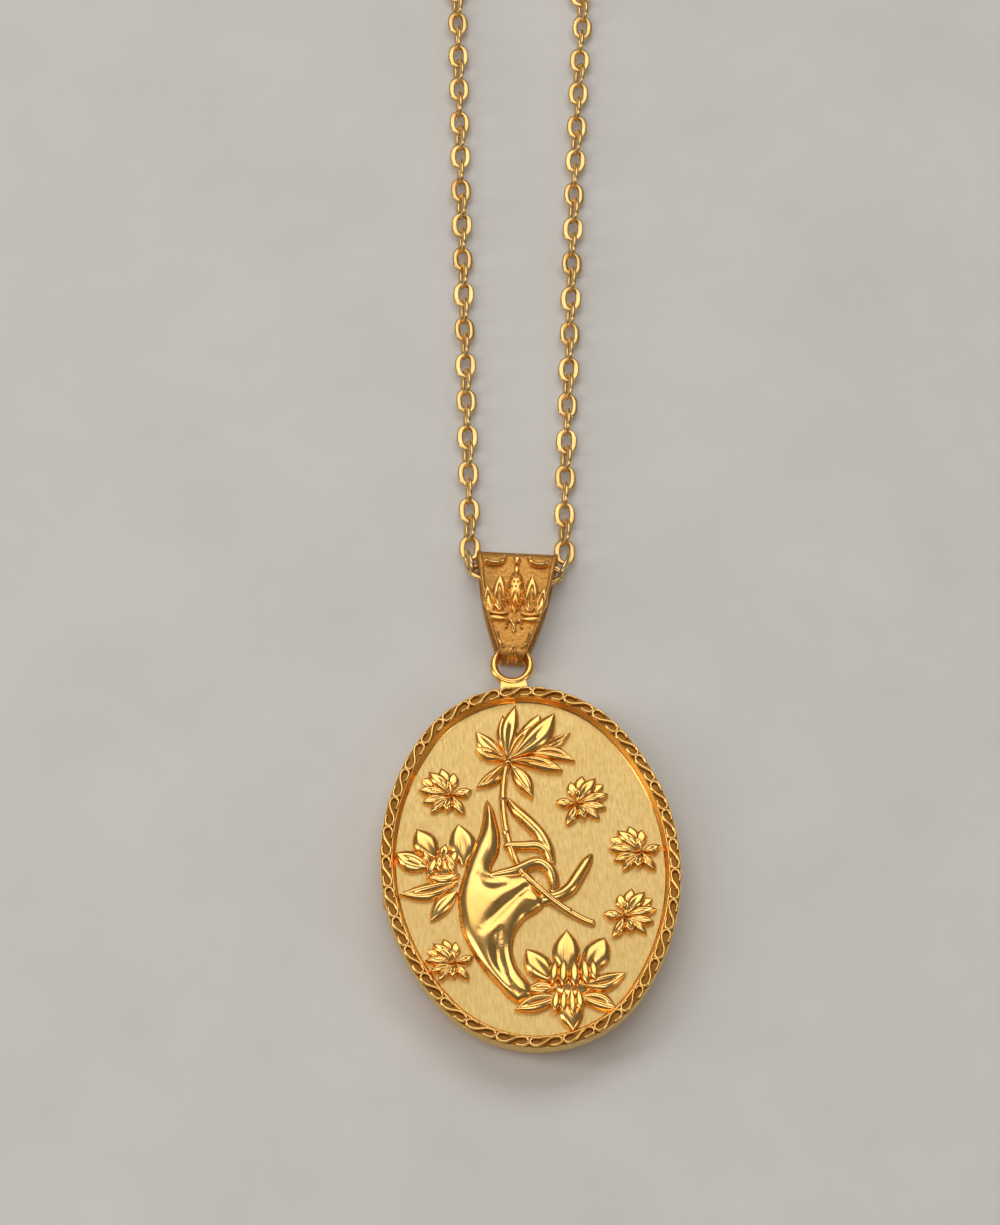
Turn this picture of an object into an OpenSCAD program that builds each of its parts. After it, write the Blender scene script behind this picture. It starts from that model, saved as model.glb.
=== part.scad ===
// Oval side-hinged locket with an applied relief, hung on a tapered bail from a cable chain.
// Millimetres. +Z is up out of the front face, +Y runs along the long axis towards the bail.
// The locket lies on its back on z = 0, and the origin is under the middle of locket and bail.

/* [Case] */
// Width of the oval case
case_w = 30; // [26:0.5:34]
// Length of the oval case
case_l = 39.5; // [36:0.5:44]
// Radius of the two end arcs of the oval
end_r = 12.5; // [11.5:0.25:13.5]
// Middle of the oval, from the middle of the hinge
oval_y = -0.25; // [-0.5:0.05:0]
// Wall thickness of the shells
wall = 0.65; // [0.5:0.05:0.8]
// Height of the line where the two shells part
part_z = 2.4; // [2.2:0.1:2.6]
// Height of the matt field that carries the relief
field_z = 4.2; // [4.1:0.05:4.4]
// Height of the band that carries the scroll border
band_z = 4.85; // [4.7:0.05:5]
// Width of the raised band
band_w = 1.15; // [1.1:0.05:1.5]
// How far the band overhangs the case wall
overhang = 0.8; // [0.7:0.05:0.9]
// Height of the scroll wires above the band
scroll_h = 0.25; // [0.15:0.05:0.35]
// Number of scrolls round the border
scroll_count = 32; // [28:1:36]

/* [Hinge] */
// Radius of the hinge barrel
barrel_r = 0.55; // [0.5:0.01:0.58]
// Radius of the hinge pin
pin_r = 0.28; // [0.2:0.01:0.3]
// Running clearance round the pin
pin_gap = 0.03; // [0.02:0.01:0.06]
// Length of the whole barrel
barrel_l = 6; // [5:0.5:8]

/* [Ring and bail] */
// Distance from the case centre to the ring centre
ring_y = 23.3; // [23:0.1:23.6]
// Height of the ring's plane
ring_z = 2.1; // [2:0.05:2.2]
// Radius of the ring, to the middle of its wire
ring_r = 1.875; // [1.8:0.025:2]
// Radius of the ring's wire
ring_wire = 0.425; // [0.38:0.01:0.45]
// Angle of the bail across the locket's long axis
bail_yaw = 7; // [5:1:9]
// Distance from the ring centre to the top of the bail
bail_len = 12.8; // [12:0.1:13]
// Width of the bail at its top
bail_w = 8.5; // [8:0.1:8.8]
// Thickness of the bail's strap
strap = 0.5; // [0.4:0.05:0.55]

/* [Chain] */
// Diameter of the plain tube that stands for the chain
chain_d = 1.8; // [1.6:0.1:2]
// Centre of the stored coil from the case centre
coil_x = 16.5; // [16:0.5:18]
// Distance of the coil's centre along the long axis
coil_y = 126; // [125:0.5:128]
// Outer radius of the coil
coil_out = 17.4; // [17:0.1:18]
// Inner radius of the coil
coil_in = 6.6; // [6.4:0.1:6.8]

/* [Hidden] */
$fn = 96;
e = 0.01;

gold = "#e0b465";
pale_gold = "#eaca86";
deep_gold = "#c98d35";
clear_plastic = [0.9, 0.95, 1, 0.35];
blank_card = "#f2ede0";

// The oval has two end arcs and two side arcs that meet tangentially.
half_w = case_w / 2;
half_l = case_l / 2;
end_c = half_l - end_r;
side_c = (end_c * end_c - (half_w - end_r) * (half_w - end_r)) / (2 * (half_w - end_r));
side_r = half_w + side_c;
centre_gap = side_r - end_r;

// The whole object runs from the foot of the oval to the bail's top corner.
top_y = ring_y + bail_len * cos(bail_yaw) + bail_w / 2 * sin(bail_yaw);
case_y = (half_l - oval_y - top_y) / 2;

flange_z = 3.7;
ledge_z = 1.3;
lip_in = 1.92;
lip_out = 1.52;
lip_top = 3;
barrel_x = -14.4;
barrel_gap = 0.07;
web_in = 0.65;
knuckles = 5;
knuckle_l = barrel_l / knuckles;
bore_r = pin_r + pin_gap;

bail_top_r = 1.85;
bail_foot_r = 1.6;
bail_foot_v = 1.75;
bail_top_v = bail_len - bail_top_r;
bail_front_z = ring_z + bail_foot_r;
bail_waist = 1.1;

chain_r = chain_d / 2;
clasp_z = 1.2;

module at_case() { translate([0, case_y, 0]) children(); }
module at_bail() { at_case() translate([0, ring_y, 0]) rotate(-bail_yaw) children(); }
module at_coil() { at_case() translate([coil_x, coil_y, 0]) children(); }
module flat(z0, z1) { translate([0, 0, z0]) linear_extrude(z1 - z0) children(); }

// ---- Oval helpers -------------------------------------------------------------------------

// The oval outline, drawn in by d all round.
module oval(d) {
    tangent_y = end_c + (end_r - d) * end_c / centre_gap;
    translate([0, oval_y]) {
        intersection() {
            translate([-side_c, 0]) circle(side_r - d);
            translate([side_c, 0]) circle(side_r - d);
            square([2 * case_w, 2 * tangent_y], center = true);
        }
        for (s = [-1, 1]) translate([0, s * end_c]) circle(end_r - d);
    }
}

module slab(d, z0, z1) { flat(z0, z1) oval(d); }

// A band between two insets of the oval.
module oval_ring(d_out, d_in, z0, z1) {
    flat(z0, z1) difference() {
        oval(d_out);
        oval(d_in);
    }
}

// The place and turn of a point on the oval drawn in by d, at angle a round its arcs.
arc_end = 2 * atan2(side_c, end_c);
arc_side = 180 - arc_end;
function arc_len(r, a) = r * a * PI / 180;
function quarter(d) = arc_len(end_r - d, arc_end / 2) + arc_len(side_r - d, arc_side / 2);
// Distance s is measured clockwise from the top, and q is the quarter that it falls in.
function on_quarter(s, d) =
    let (head = arc_len(end_r - d, arc_end / 2))
    s < head
        ? let (a = s / (end_r - d) * 180 / PI)
          [(end_r - d) * sin(a), end_c + (end_r - d) * cos(a), -a]
        : let (a = arc_end / 2 + (s - head) / (side_r - d) * 180 / PI)
          [-side_c + (side_r - d) * sin(a), (side_r - d) * cos(a), -a];
function on_oval(s, d) =
    let (q = quarter(d), n = floor(s / q), r = s - n * q, p = on_quarter(n % 2 == 0 ? r : q - r, d))
    n == 0 ? [p[0], oval_y + p[1], p[2]]
    : n == 1 ? [p[0], oval_y - p[1], -180 - p[2]]
    : n == 2 ? [-p[0], oval_y - p[1], p[2] - 180]
    : [-p[0], oval_y + p[1], -p[2]];

// A dish with flat facets through [inset, height] pairs, from the lowest up.
dish_sides = 96;
module dish(levels) {
    n = dish_sides;
    rows = len(levels);
    rings = [for (l = levels) for (k = [n - 1 : -1 : 0])
        let (p = on_oval((k + 0.5) * 4 * quarter(l[0]) / n, l[0])) [p[0], p[1], l[1]]];
    walls = [for (i = [0 : rows - 2]) for (k = [0 : n - 1])
        let (a = i * n + k, b = i * n + (k + 1) % n)
        for (f = [[a, b + n, b], [a, a + n, b + n]]) f];
    ends = [[for (k = [0 : n - 1]) k], [for (k = [n - 1 : -1 : 0]) (rows - 1) * n + k]];
    polyhedron(points = rings, faces = concat(walls, ends), convexity = 4);
}

// ---- Hinge helpers ------------------------------------------------------------------------

module along_y(x, y, z, r, l) { translate([x, y, z]) rotate([-90, 0, 0]) cylinder(r = r, h = l); }

module barrel_room() { along_y(barrel_x, -barrel_l / 2 - 0.25, part_z, barrel_r + barrel_gap, barrel_l + 0.5); }

// The part of a shell's wall that the webs of its knuckles fill.
module webs(first, side) {
    for (k = [first : 2 : knuckles - 1])
        translate([barrel_x, -barrel_l / 2 + k * knuckle_l, side > 0 ? part_z : part_z - web_in])
            cube([web_in, knuckle_l, web_in]);
}

module knuckle_row(first, side) {
    gap = 0.03;
    for (k = [first : 2 : knuckles - 1]) {
        y0 = -barrel_l / 2 + k * knuckle_l + gap / 2;
        difference() {
            union() {
                along_y(barrel_x, y0, part_z, barrel_r, knuckle_l - gap);
                translate([barrel_x, y0, side > 0 ? part_z : part_z - web_in])
                    cube([web_in, knuckle_l - gap, web_in]);
            }
            along_y(barrel_x, y0 - 1, part_z, bore_r, knuckle_l + 2);
        }
    }
}

// ---- Back half ----------------------------------------------------------------------------

module back_cover() {
    color(gold) at_case() difference() {
        dish([[3.6, 0], [2, 0.45], [1.1, 1.05], [overhang, 1.6], [overhang, part_z]]);
        dish([[4, 0.6], [2.45, ledge_z], [2.45, ledge_z + 0.4]]);
        dish([[overhang + wall, ledge_z], [overhang + wall, part_z + 1]]);
        barrel_room();
        webs(0, -1);
        // thumbnail notch opposite the hinge
        along_y(half_w - overhang + 0.25, -1.5, part_z, 0.45, 3);
    }
}

// The inner band that the cover closes over, with its two snap beads.
module closing_lip() {
    color(gold) at_case() {
        oval_ring(lip_out, lip_in, ledge_z, lip_top);
        for (y = [-6, 6]) translate([half_w - lip_out - 0.26 - y * y / 2 / side_r, y, 2.72]) sphere(0.3);
    }
}

module top_ring() {
    neck_z = 1.7;
    color(gold) at_case() difference() {
        union() {
            translate([0, ring_y, ring_z]) rotate_extrude() translate([ring_r, 0]) circle(ring_wire, $fn = 48);
            // neck
            flat(neck_z, part_z - 0.02) polygon([[-1.8, 18], [1.8, 18], [1.25, 21.5], [-1.25, 21.5]]);
        }
        translate([0, ring_y, -1]) cylinder(r = ring_r - ring_wire, h = 6);
        slab(overhang, 0, 3);
    }
}

module hinge_pin() {
    head = 0.12;
    color(deep_gold) at_case() {
        along_y(barrel_x, -barrel_l / 2 - 0.02, part_z, pin_r, barrel_l + 0.04);
        for (s = [-1, 1]) along_y(barrel_x, s * (barrel_l / 2 + 0.02) - (s < 0 ? head : 0), part_z, 0.4, head);
    }
}

module back_hinge_knuckles() { color(gold) at_case() knuckle_row(0, -1); }

module back_photo_rim() { color(gold) at_case() oval_ring(1.96, 2.9, 1.8, 2.3); }
module back_window() { color(clear_plastic) at_case() slab(2, 1.5, 1.8); }
module back_photo_card() { color(blank_card) at_case() slab(2, ledge_z, 1.5); }

// ---- Front half ---------------------------------------------------------------------------

module front_cover() {
    color(pale_gold) at_case() difference() {
        union() {
            slab(0, flange_z, band_z);
            slab(overhang, part_z, flange_z);
        }
        slab(band_w, field_z, band_z + 1);
        slab(overhang + wall, part_z - 1, 3.05);
        slab(2.15, part_z, flange_z);
        barrel_room();
        webs(1, 1);
    }
}

module front_hinge_knuckles() { color(gold) at_case() knuckle_row(1, 1); }
module front_photo_rim() { color(gold) at_case() oval_ring(2.17, 3.1, 2.75, 3.3); }
module front_window() { color(clear_plastic) at_case() slab(2.2, 3.3, 3.5); }
module front_photo_card() { color(blank_card) at_case() slab(2.2, 3.5, flange_z); }

// One S scroll lying along the border: x runs along it, y points outwards.
module scroll(l) {
    w = 0.24;
    curl = 0.42;
    for (s = [-1, 1]) translate([s * l * 0.24, 0]) difference() {
        circle(curl, $fn = 24);
        circle(curl - w, $fn = 24);
        translate([-s, 0]) rotate(45) square([1.2, 0.5], center = true);
    }
    rotate(35) square([l * 0.4, w], center = true);
}

module scroll_border() {
    mid = 0.6;
    pitch = 4 * quarter(mid) / scroll_count;
    color(gold) at_case() {
        oval_ring(0.03, 0.15, band_z, band_z + 0.12);
        for (i = [0 : scroll_count - 1]) {
            p = on_oval((i + 0.45) * pitch, mid);
            translate([p[0], p[1], band_z]) rotate(p[2]) linear_extrude(scroll_h) scroll(pitch);
        }
    }
}

// ---- Relief -------------------------------------------------------------------------------

// A pointed petal from the origin along +Y.
module petal(l, w, h, turn = 0) {
    rotate(turn) linear_extrude(h)
        polygon([[-w * 0.15, 0], [-w * 0.45, l * 0.3], [-w * 0.42, l * 0.6], [0, l],
                 [w * 0.42, l * 0.6], [w * 0.45, l * 0.3], [w * 0.15, 0]]);
}

// A band of width w along a list of points, with a round stud at each that is a little fuller than the band.
module route(points, w, h) {
    side = 0.46 * w;
    for (p = points) translate([p[0], p[1], 0]) cylinder(r = w / 2, h = h, $fn = 24);
    for (i = [0 : len(points) - 2]) {
        d = points[i + 1] - points[i];
        translate([points[i][0], points[i][1], 0]) rotate(atan2(d[1], d[0]))
            translate([0, -side, 0]) cube([norm(d), 2 * side, h - 0.04]);
    }
}

module on_field(x, y) { at_case() translate([x, y, field_z]) children(); }

module hand_relief() {
    color(gold) on_field(0, 0) difference() {
        union() {
            linear_extrude(0.9) polygon([
                [-6.2, 0], [-7.3, -3], [-7.1, -6], [-6.5, -9], [-5.4, -11.4], [-3.8, -13.8],
                [-2.6, -14.4], [-1.5, -13], [-2.3, -11], [-2.4, -9], [-1.3, -6.5], [0.4, -4.6],
                [2.4, -3.6], [1.6, -0.6], [-1.8, -1.2], [-4.2, -0.6]
            ]);
            route([[-3.6, 6.4], [-3.8, 3.4], [-5, -0.2]], 1.5, 0.96);
            route([[-1, 6], [0.8, 4.2], [1.7, 1.3], [1.9, -0.9], [1.9, -2.9]], 1.15, 0.84);
            route([[1.6, -3.9], [4.1, -2.7], [5.7, -0.7]], 1.3, 0.78);
        }
        lower_lotus_room();
        left_lotus_room();
    }
}

// The stem crosses the hand, and lies on it from z = 0.9.
module held_lotus() {
    color(gold) {
        on_field(-1.4, 11.3) {
            for (p = [[-45, 6.6, 2.4, 1], [-18, 6.1, 2, 0.8], [2, 5.4, 2, 0.8], [22, 5.2, 1.9, 0.7],
                      [42, 4.6, 1.9, 0.7], [72, 3.6, 1.7, 0.7], [128, 4.3, 1.9, 0.8], [-152, 4.8, 2.1, 0.9],
                      [-108, 5.2, 1.9, 0.8], [-84, 6.2, 1.8, 0.7], [-66, 6.6, 1.8, 0.7]])
                petal(p[1], p[2], p[3], p[0]);
            linear_extrude(0.7) circle(0.9, $fn = 32);
        }
        on_field(0, 0) difference() {
            route([[-1.5, 10.7], [-2.3, 6.5], [-2.2, 2.8], [-1.5, 0.2]], 0.7, 0.6);
            hand_room();
        }
        on_field(0, 0) translate([0, 0, 0.9]) route([[-1.2, -0.9], [-0.3, -2.1], [0.6, -3.2]], 0.7, 0.3);
        on_field(0, 0) route([[3.3, -5.9], [5.6, -7.2]], 0.7, 0.5);
    }
}

module hand_room() {
    translate([-2.6, -1.8, -e]) cube([4, 2.1, 2]);
}

module left_lotus() {
    color(gold) on_field(-9.3, 0) intersection() {
        union() {
            for (p = [[8, 3.7, 2, 0.7], [-34, 4.6, 2.4, 0.8], [66, 4.2, 2.1, 0.6], [98, 3.6, 2, 0.6],
                      [126, 4.6, 1.6, 0.6], [172, 5.6, 1.8, 0.6]])
                petal(p[1], p[2], p[3], p[0]);
            linear_extrude(0.8) circle(1.4, $fn = 32);
        }
        left_lotus_window();
    }
}

module left_lotus_window() { translate([-6, -7, -1]) cube([8, 13, 4]); }
module left_lotus_room() { translate([-12, -6.5, -e]) cube([4.72, 5.4, 0.85]); }

module lower_lotus() {
    color(gold) on_field(2.7, -12.9) {
        for (p = [[0, 4.9, 2, 0.9], [38, 4.6, 2.2, 0.7], [-44, 4.8, 2.4, 0.8], [-88, 5.5, 2, 0.7],
                  [112, 5.7, 2, 0.7], [-130, 5.2, 1.9, 0.7], [180, 5.2, 2, 0.9]])
            petal(p[1], p[2], p[3], p[0]);
        linear_extrude(1) circle(1.7, $fn = 32);
    }
}
module lower_lotus_room() { translate([-2.9, -18, -e]) cube([12, 5, 2]); }

module small_blossoms() {
    // each as [x, y, turn, petal length]
    places = [[-8.3, 7.9, 0, 2.5], [5.9, 6.2, 10, 2.5], [10.4, 0.4, 20, 2.5], [9.4, -6.7, -10, 2.5],
              [-8.7, -10.4, 15, 2.2]];
    petals = 9;
    color(gold) for (p = places) on_field(p[0], p[1]) {
        for (i = [0 : petals - 1]) petal(p[3], 0.44 * p[3], i % 2 == 0 ? 0.6 : 0.45, p[2] + i * 360 / petals);
        linear_extrude(0.65) circle(0.7, $fn = 24);
    }
}

// ---- Bail ---------------------------------------------------------------------------------

// The strap's side view: x runs along the bail and y is height. It is drawn in by d.
module bail_side(d) {
    hull() {
        translate([bail_foot_v, ring_z]) circle(bail_foot_r - d);
        translate([bail_top_v, bail_top_r]) circle(bail_top_r - d);
    }
}

// The strap's outline from the front, with the narrow end at the ring.
module bail_front() {
    side = [[1.1, 0], [1.3, 0.45], [1.55, 1.3], [2.05, 2.7], [2.65, 4.6], [3.2, 6.6], [3.65, 8.8],
            [3.95, 11], [bail_w / 2, bail_len]];
    left = [for (i = [len(side) - 1 : -1 : 0]) [-side[i][0], side[i][1]]];
    polygon(concat(side, left));
}

module bail() {
    color(gold) at_bail() difference() {
        intersection() {
            translate([0, 0, -1]) linear_extrude(6) bail_front();
            rotate([90, 0, 90]) translate([0, 0, -6]) linear_extrude(12) difference() {
                bail_side(0);
                bail_side(strap);
            }
        }
        // waist that lets the strap pass through the ring
        for (s = [-1, 1]) translate([s * (bail_waist + 2), 0, ring_z]) cube([4, 3.2, 2.2], center = true);
    }
}

module bail_ornament() {
    color(pale_gold) at_bail() translate([0, 0, bail_front_z]) {
        translate([0, 6.9, 0]) {
            petal(3.6, 1.7, 0.45);
            for (s = [-1, 1]) {
                translate([s * 1.7, 0.2, 0]) petal(3, 1, 0.4);
                translate([s * 2.75, 0.4, 0]) petal(1.7, 0.7, 0.35);
            }
        }
        for (s = [-1, 1]) {
            route([[s * 1.5, 11.3], [s * 2.2, 10.7], [s * 3.2, 10.8]], 0.5, 0.35);
            route([[s * 1, 6], [s * 2.6, 6.05]], 0.4, 0.3);
            route([[s * 1.75, 4.4], [s * 1.5, 3.6], [s * 0.85, 3]], 0.3, 0.3);
            route([[s * 0.35, 1.9], [0, 2.6]], 0.25, 0.3);
        }
        translate([0, 10.7, 0]) petal(0.9, 0.6, 0.35);
        translate([0, 5.4, 0]) petal(0.9, 1, 0.3);
    }
}

// ---- Chain --------------------------------------------------------------------------------

// Routes from the middle of the bail, as [x, y, z] from the case centre.
left_route = [
    [1.3, 34.1, 1.85], [-0.7, 34.35, 1.85], [-2.6, 34.6, 1.85], [-3.6, 35.3, 1.7], [-3.8, 36.6, 1.4],
    [-3.8, 38.5, 1.1], [-3.6, 42, 0.95], [-3.2, 50, 0.95], [-2.6, 60, 0.95], [-2, 70, 0.95],
    [-1.4, 80, 0.95], [-0.7, 90, 0.95], [-0.1, 100, 0.95], [0.4, 108, 0.95], [0.2, 116, 0.95]
];
right_route = [
    [1.3, 34.1, 1.85], [3.3, 33.85, 1.85], [5.2, 33.65, 1.85], [6.4, 34.1, 1.7], [6.8, 35.4, 1.4],
    [6.9, 37.5, 1.1], [7.2, 42, 0.95], [8, 50, 0.95], [9, 60, 0.95], [10.1, 70, 0.95],
    [11.2, 80, 0.95], [12.4, 90, 0.95], [13.6, 100, 0.95], [14.3, 105.5, 0.95], [14, 108.3, 0.95]
];

// A tube with round ends on a list of points, as one closed polyhedron.
module tube(points, r) {
    sides = 8;
    n = len(points);
    function ahead(i) = points[min(i + 1, n - 1)] - points[max(i - 1, 0)];
    function across(i) = let (d = ahead(i), c = [d[1], -d[0], 0]) c / norm(c);
    function upright(i) = let (d = ahead(i), c = cross(across(i), d)) c / norm(c);
    rings = [for (i = [0 : n - 1]) for (k = [0 : sides - 1])
        points[i] + r * (cos(k * 360 / sides) * across(i) + sin(k * 360 / sides) * upright(i))];
    walls = [for (i = [0 : n - 2]) for (k = [0 : sides - 1])
        [i * sides + k, i * sides + (k + 1) % sides, (i + 1) * sides + (k + 1) % sides, (i + 1) * sides + k]];
    ends = [[for (k = [sides - 1 : -1 : 0]) k], [for (k = [0 : sides - 1]) (n - 1) * sides + k]];
    polyhedron(points = rings, faces = concat(walls, ends), convexity = 4);
}

// Points put in between at a step of two to three diameters.
function filled(points, step) = [
    for (i = [0 : len(points) - 2])
        let (d = points[i + 1] - points[i], n = max(1, floor(norm(d) / step)))
        for (k = [0 : n - 1]) points[i] + d * k / n,
    points[len(points) - 1]
];

module chain_left() { color(pale_gold) at_case() tube(filled(left_route, 4.5), chain_r); }
module chain_right() { color(pale_gold) at_case() tube(filled(right_route, 4.5), chain_r); }

module chain_coil() {
    color(pale_gold) at_coil() rotate_extrude() translate([coil_in, 0]) square([coil_out - coil_in, 2]);
}

// ---- Clasp --------------------------------------------------------------------------------

loop_x = 4.1;
pivot = [0.6, -0.9];

module link_ring(x, r, wire) {
    at_coil() translate([x, 0, r + wire]) rotate([90, 0, 0]) rotate_extrude() translate([r, 0]) circle(wire, $fn = 32);
}

module clasp_jump_ring() { color(gold) link_ring(-6.1, 1, 0.25); }
module end_ring() { color(gold) link_ring(6.1, 1, 0.25); }

module clasp_body() {
    color(gold) at_coil() difference() {
        union() {
            // claw loop
            flat(clasp_z - 0.6, clasp_z + 0.6) difference() {
                translate([loop_x, 0]) circle(2.3);
                translate([loop_x, 0]) circle(1.6);
                polygon([[loop_x, 0], [loop_x - 1.6, -5], [loop_x + 2.3, -5], [loop_x + 1, -1.6]]);
            }
            // stem
            flat(clasp_z - 1, clasp_z + 1) polygon([
                [-3.9, -0.5], [-2.6, -1.3], [0.8, -1.6], [1.9, -1.1], [2.15, 0], [2.2, 1.3], [1.2, 1.5], [-2, 1.1], [-3.9, 0.5]
            ]);
            // eye
            flat(clasp_z - 0.3, clasp_z + 0.3) translate([-4.9, 0]) circle(1.1);
        }
        flat(-1, 4) translate([-4.9, 0]) circle(0.62);
        flat(-1, 4) translate([loop_x, 0]) circle(1.6);
        // slot for the lever
        flat(clasp_z - 0.6, clasp_z + 0.6) polygon([[-0.6, -3], [-0.6, 0.1], [4, 0.1], [4, -3]]);
        translate([pivot[0], pivot[1], -1]) cylinder(r = 0.28, h = 5, $fn = 32);
    }
}

module clasp_pin() { color(deep_gold) at_coil() translate([pivot[0], pivot[1], clasp_z - 1]) cylinder(r = 0.25, h = 2, $fn = 32); }

module clasp_spring() {
    color("silver") at_coil() translate([pivot[0], pivot[1], clasp_z + 0.28]) difference() {
        cylinder(r = 0.5, h = 0.25, $fn = 32);
        translate([0, 0, -1]) cylinder(r = 0.3, h = 3, $fn = 32);
    }
}

module lever_flat() { flat(clasp_z - 0.55, clasp_z + 0.22) children(); }

module clasp_lever() {
    color(gold) at_coil() difference() {
        union() {
            lever_flat() translate(pivot) circle(0.6, $fn = 32);
            lever_flat() translate([loop_x, 0]) intersection() {
                difference() {
                    circle(2.25);
                    circle(1.68);
                }
                polygon([[0, 0], [-4, -2.4], [-4, -6], [1.9, -6], [0.75, -1.7]]);
            }
            lever_flat() polygon([[0.6, -1.45], [0.8, -0.5], [2.35, -0.9], [3, -1.7]]);
            // thumb piece
            lever_flat() polygon([[0.5, -1.2], [0.3, -1.9], [0.7, -2.35], [1.3, -2.1], [1.5, -1.3]]);
        }
        translate([pivot[0], pivot[1], -1]) cylinder(r = 0.28, h = 5, $fn = 32);
    }
}

back_cover();
closing_lip();
top_ring();
hinge_pin();
back_hinge_knuckles();
back_photo_rim();
back_window();
back_photo_card();
front_cover();
front_hinge_knuckles();
front_photo_rim();
front_window();
front_photo_card();
scroll_border();
hand_relief();
held_lotus();
left_lotus();
lower_lotus();
small_blossoms();
bail();
bail_ornament();
chain_left();
chain_right();
chain_coil();
clasp_jump_ring();
clasp_body();
clasp_pin();
clasp_spring();
clasp_lever();
end_ring();
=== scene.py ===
"""Looks of the oval locket: camera, light, chain links, relief, scrolls and metal finishes."""
import math

import bpy
import numpy as np
from mathutils import Matrix, Vector


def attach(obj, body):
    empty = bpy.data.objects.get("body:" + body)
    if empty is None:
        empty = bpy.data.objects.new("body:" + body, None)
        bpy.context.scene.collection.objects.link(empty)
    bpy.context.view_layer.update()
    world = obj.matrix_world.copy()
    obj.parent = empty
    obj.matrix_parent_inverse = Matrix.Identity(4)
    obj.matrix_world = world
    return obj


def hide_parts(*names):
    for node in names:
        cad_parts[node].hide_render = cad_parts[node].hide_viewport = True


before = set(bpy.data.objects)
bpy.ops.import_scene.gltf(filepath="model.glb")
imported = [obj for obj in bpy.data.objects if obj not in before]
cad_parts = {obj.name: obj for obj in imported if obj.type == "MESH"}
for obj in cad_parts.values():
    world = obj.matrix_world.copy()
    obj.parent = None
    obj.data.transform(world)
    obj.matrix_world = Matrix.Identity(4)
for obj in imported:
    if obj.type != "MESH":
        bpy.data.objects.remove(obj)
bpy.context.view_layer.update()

MM = 0.001
CASE_Y = -8.2613          # case centre in the row frame, mm
RING_Y = 23.3             # ring centre from the case centre
BAIL_YAW = math.radians(-7)
FIELD_Z = 4.2             # matt field of the front cover
BAND_Z = 4.85             # raised band round it
HALF_W, HALF_L = 15.0, 19.75    # half width and half length of the oval
OVAL_Y = -0.25            # the oval's middle from the case centre
END_R = 12.5              # radius of the oval's end arcs
END_C = HALF_L - END_R
SIDE_C = (END_C ** 2 - (HALF_W - END_R) ** 2) / (2 * (HALF_W - END_R))
SIDE_R = HALF_W + SIDE_C

# ---- Camera: the picture's own angle --------------------------------------------------------

AZIMUTH, ELEVATION, ROLL = math.radians(-6.4), math.radians(62.5), math.radians(2.3)
AIM = Vector((-0.63, 22.36, 0)) * MM
DISTANCE = 0.45
LENS, SENSOR = 127.1, 36    # mm


def make_camera():
    back = Vector((math.sin(AZIMUTH) * math.cos(ELEVATION),
                   -math.cos(AZIMUTH) * math.cos(ELEVATION),
                   math.sin(ELEVATION)))
    right = (-back).cross(Vector((0, 0, 1))).normalized()
    up = right.cross(-back)
    across = math.cos(ROLL) * right + math.sin(ROLL) * up
    above = -math.sin(ROLL) * right + math.cos(ROLL) * up
    data = bpy.data.cameras.new("camera")
    data.lens = LENS
    data.sensor_width = SENSOR
    data.clip_start = 0.01
    data.clip_end = 10
    camera = bpy.data.objects.new("camera", data)
    bpy.context.scene.collection.objects.link(camera)
    turn = Matrix((across, above, back)).transposed().to_4x4()
    camera.matrix_world = Matrix.Translation(AIM + back * DISTANCE) @ turn
    bpy.context.scene.camera = camera


make_camera()

# ---- Mesh helpers ---------------------------------------------------------------------------


def make(name, verts, faces, material, body, smooth=True, sharp=None):
    """A mesh from points in case millimetres that rides on a body."""
    pts = np.asarray(verts, float).reshape(-1, 3).copy()
    pts[:, 1] += CASE_Y
    mesh = bpy.data.meshes.new(name)
    mesh.from_pydata((pts * MM).tolist(), [], [list(map(int, f)) for f in faces])
    mesh.update()
    for p in mesh.polygons:
        p.use_smooth = smooth
    if sharp is not None:
        mesh.set_sharp_from_angle(angle=math.radians(sharp))
    mesh.materials.append(material)
    obj = bpy.data.objects.new(name, mesh)
    bpy.context.scene.collection.objects.link(obj)
    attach(obj, body)
    return obj


def spline(points, step=0.25):
    """A smooth line through the points (Catmull-Rom), with a point about every step."""
    p = np.asarray(points, float)
    p = np.vstack([2 * p[0] - p[1], p, 2 * p[-1] - p[-2]])
    out = []
    for i in range(1, len(p) - 2):
        gap = np.linalg.norm((p[i + 1] - p[i])[:3])
        n = max(2, int(math.ceil(gap / step)))
        for k in range(n):
            t = k / n
            a, b, c, d = p[i - 1], p[i], p[i + 1], p[i + 2]
            out.append(0.5 * (2 * b + (c - a) * t + (2 * a - 5 * b + 4 * c - d) * t * t
                              + (3 * b - a - 3 * c + d) * t ** 3))
    out.append(p[-2])
    return np.array(out)


def arc_lengths(path):
    return np.concatenate([[0], np.cumsum(np.linalg.norm(np.diff(path[:, :3], axis=0), axis=1))])


def at_lengths(path, s):
    along = arc_lengths(path)
    return np.stack([np.interp(s, along, path[:, k]) for k in range(path.shape[1])], axis=-1)


def loft(rings, closed=False):
    """Points and faces of a tube through equal rings of points, with flat ends unless it is closed."""
    rings = np.asarray(rings, float)
    rows, n = rings.shape[:2]
    faces = []
    for i in range(rows if closed else rows - 1):
        a, b = i * n, (i + 1) % rows * n
        for k in range(n):
            m = (k + 1) % n
            faces.append((a + k, a + m, b + m, b + k))
    if not closed:
        faces.append(tuple(range(n))[::-1])
        faces.append(tuple((rows - 1) * n + k for k in range(n)))
    return rings.reshape(-1, 3), faces


def joined(parts):
    verts, faces, base = [], [], 0
    for v, f in parts:
        verts.append(np.asarray(v, float).reshape(-1, 3))
        faces += [tuple(i + base for i in g) for g in f]
        base += len(verts[-1])
    return np.vstack(verts), faces


# ---- The oval -------------------------------------------------------------------------------

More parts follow.
